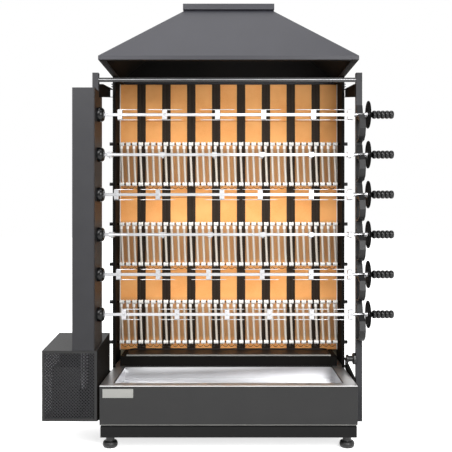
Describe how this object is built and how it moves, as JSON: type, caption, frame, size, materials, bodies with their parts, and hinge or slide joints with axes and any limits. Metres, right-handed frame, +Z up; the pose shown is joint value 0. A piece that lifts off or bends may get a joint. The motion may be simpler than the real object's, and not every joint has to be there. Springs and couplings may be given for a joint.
{
  "type": "chicken rotisserie",
  "caption": "Floor-standing wall rotisserie: firebox with electric heater banks, horizontal spits on a chain drive, drip-pan drawer and hood.",
  "frame": {"origin": "centre of the bounding box at floor level, under the feet", "axes": "+Z up, +X to the right seen from the front, where the spit handles are, +Y towards the back"},
  "size_m": [1.565, 0.65, 2.02],
  "materials": {
    "black_sheet": "satin black coating",
    "dark_frame": "matt black coating",
    "hood_paint": "dark grey coating",
    "stainless": "brushed",
    "refractory": "matt fired clay, warmed by the heaters",
    "porcelain": "unglazed porcelain",
    "heater_metal": "oxidised",
    "wool_board": "pressed mineral wool",
    "black_cast": "black coating",
    "polished_bar": "polished",
    "drive_steel": "oiled",
    "motor_casting": "cast, painted grey",
    "black_plastic": "moulded",
    "foot_rubber": "matt"
  },
  "bodies": {
    "stand": {"base_cabinet": "black_sheet", "side_walls": "black_sheet", "back_panel": "black_sheet", "drive_cover": "black_sheet", "bearing_plate": "black_sheet", "motor_guard": "black_sheet", "motor_plate": "black_sheet", "posts": "black_sheet", "tile_channels": "black_sheet", "firebox_floor": "black_sheet", "spit_cradles": "black_sheet", "crossbar": "black_sheet", "post_arms": "black_sheet", "plinth_frame": "dark_frame", "hood": "hood_paint", "flue_collar": "hood_paint", "pan_top_frame": "stainless", "crumb_tray": "stainless", "drawer_rails": "stainless", "refractory_tiles": "refractory", "insulator_beads": "porcelain", "heater_rods": "heater_metal", "bead_rods": "heater_metal", "insulation_board": "wool_board", "bearing_flanges": "black_cast", "drive_chain": "drive_steel", "gear_motor": "motor_casting"},
    "drip_drawer": {"drawer_front": "black_sheet", "drip_pan": "stainless", "drawer_slides": "stainless"},
    "foot_front_left": {"foot_front_left": "foot_rubber"},
    "foot_front_right": {"foot_front_right": "foot_rubber"},
    "foot_rear_left": {"foot_rear_left": "foot_rubber"},
    "foot_rear_right": {"foot_rear_right": "foot_rubber"},
    "clamp_knob": {"clamp_knob": "black_plastic"},
    "motor_sprocket": {"motor_sprocket": "drive_steel"},
    "drive_1": {"drive_shaft_1": "drive_steel"},
    "spit_1": {"spit_1": "polished_bar", "handle_1": "black_plastic", "forks_1": "polished_bar"},
    "drive_2": {"drive_shaft_2": "drive_steel"},
    "spit_2": {"spit_2": "polished_bar", "handle_2": "black_plastic", "forks_2": "polished_bar"},
    "drive_3": {"drive_shaft_3": "drive_steel"},
    "spit_3": {"spit_3": "polished_bar", "handle_3": "black_plastic", "forks_3": "polished_bar"},
    "drive_4": {"drive_shaft_4": "drive_steel"},
    "spit_4": {"spit_4": "polished_bar", "handle_4": "black_plastic", "forks_4": "polished_bar"},
    "drive_5": {"drive_shaft_5": "drive_steel"},
    "spit_5": {"spit_5": "polished_bar", "handle_5": "black_plastic", "forks_5": "polished_bar"},
    "drive_6": {"drive_shaft_6": "drive_steel"},
    "spit_6": {"spit_6": "polished_bar", "handle_6": "black_plastic", "forks_6": "polished_bar"}
  },
  "joints": [
    {"name": "drawer_slide", "type": "slide", "parent": "stand", "child": "drip_drawer", "axis": [0, -1, 0], "range_m": [0, 0.35]},
    {"name": "drive_1_spin", "type": "hinge", "parent": "stand", "child": "drive_1", "pos_m": [-0.5505, -0.247, 1.491], "axis": [1, 0, 0], "continuous": true},
    {"name": "spit_1_slide", "type": "slide", "parent": "drive_1", "child": "spit_1", "axis": [1, 0, 0], "range_m": [0, 0.016]},
    {"name": "drive_2_spin", "type": "hinge", "parent": "stand", "child": "drive_2", "pos_m": [-0.5505, -0.247, 1.311], "axis": [1, 0, 0], "continuous": true},
    {"name": "spit_2_slide", "type": "slide", "parent": "drive_2", "child": "spit_2", "axis": [1, 0, 0], "range_m": [0, 0.016]},
    {"name": "drive_3_spin", "type": "hinge", "parent": "stand", "child": "drive_3", "pos_m": [-0.5505, -0.247, 1.131], "axis": [1, 0, 0], "continuous": true},
    {"name": "spit_3_slide", "type": "slide", "parent": "drive_3", "child": "spit_3", "axis": [1, 0, 0], "range_m": [0, 0.016]},
    {"name": "drive_4_spin", "type": "hinge", "parent": "stand", "child": "drive_4", "pos_m": [-0.5505, -0.247, 0.951], "axis": [1, 0, 0], "continuous": true},
    {"name": "spit_4_slide", "type": "slide", "parent": "drive_4", "child": "spit_4", "axis": [1, 0, 0], "range_m": [0, 0.016]},
    {"name": "drive_5_spin", "type": "hinge", "parent": "stand", "child": "drive_5", "pos_m": [-0.5505, -0.247, 0.771], "axis": [1, 0, 0], "continuous": true},
    {"name": "spit_5_slide", "type": "slide", "parent": "drive_5", "child": "spit_5", "axis": [1, 0, 0], "range_m": [0, 0.016]},
    {"name": "drive_6_spin", "type": "hinge", "parent": "stand", "child": "drive_6", "pos_m": [-0.5505, -0.247, 0.591], "axis": [1, 0, 0], "continuous": true},
    {"name": "spit_6_slide", "type": "slide", "parent": "drive_6", "child": "spit_6", "axis": [1, 0, 0], "range_m": [0, 0.016]},
    {"name": "motor_spin", "type": "hinge", "parent": "stand", "child": "motor_sprocket", "pos_m": [-0.6105, -0.247, 0.3], "axis": [1, 0, 0], "continuous": true},
    {"name": "clamp_knob_turn", "type": "hinge", "parent": "stand", "child": "clamp_knob", "pos_m": [0.5995, -0.199, 0.382], "axis": [1, 0, 0], "range_deg": [0, 720]},
    {"name": "foot_front_left_turn", "type": "hinge", "parent": "stand", "child": "foot_front_left", "pos_m": [-0.491, -0.265, 0.058], "axis": [0, 0, 1], "range_deg": [-180, 180]},
    {"name": "foot_front_right_turn", "type": "hinge", "parent": "stand", "child": "foot_front_right", "pos_m": [0.57, -0.265, 0.058], "axis": [0, 0, 1], "range_deg": [-180, 180]},
    {"name": "foot_rear_left_turn", "type": "hinge", "parent": "stand", "child": "foot_rear_left", "pos_m": [-0.491, 0.265, 0.058], "axis": [0, 0, 1], "range_deg": [-180, 180]},
    {"name": "foot_rear_right_turn", "type": "hinge", "parent": "stand", "child": "foot_rear_right", "pos_m": [0.57, 0.265, 0.058], "axis": [0, 0, 1], "range_deg": [-180, 180]}
  ],
  "couplings": [
    {"joint": "drive_2_spin", "follows": "drive_1_spin", "ratio": 1},
    {"joint": "drive_3_spin", "follows": "drive_1_spin", "ratio": 1},
    {"joint": "drive_4_spin", "follows": "drive_1_spin", "ratio": 1},
    {"joint": "drive_5_spin", "follows": "drive_1_spin", "ratio": 1},
    {"joint": "drive_6_spin", "follows": "drive_1_spin", "ratio": 1},
    {"joint": "motor_spin", "follows": "drive_1_spin", "ratio": 1}
  ]
}
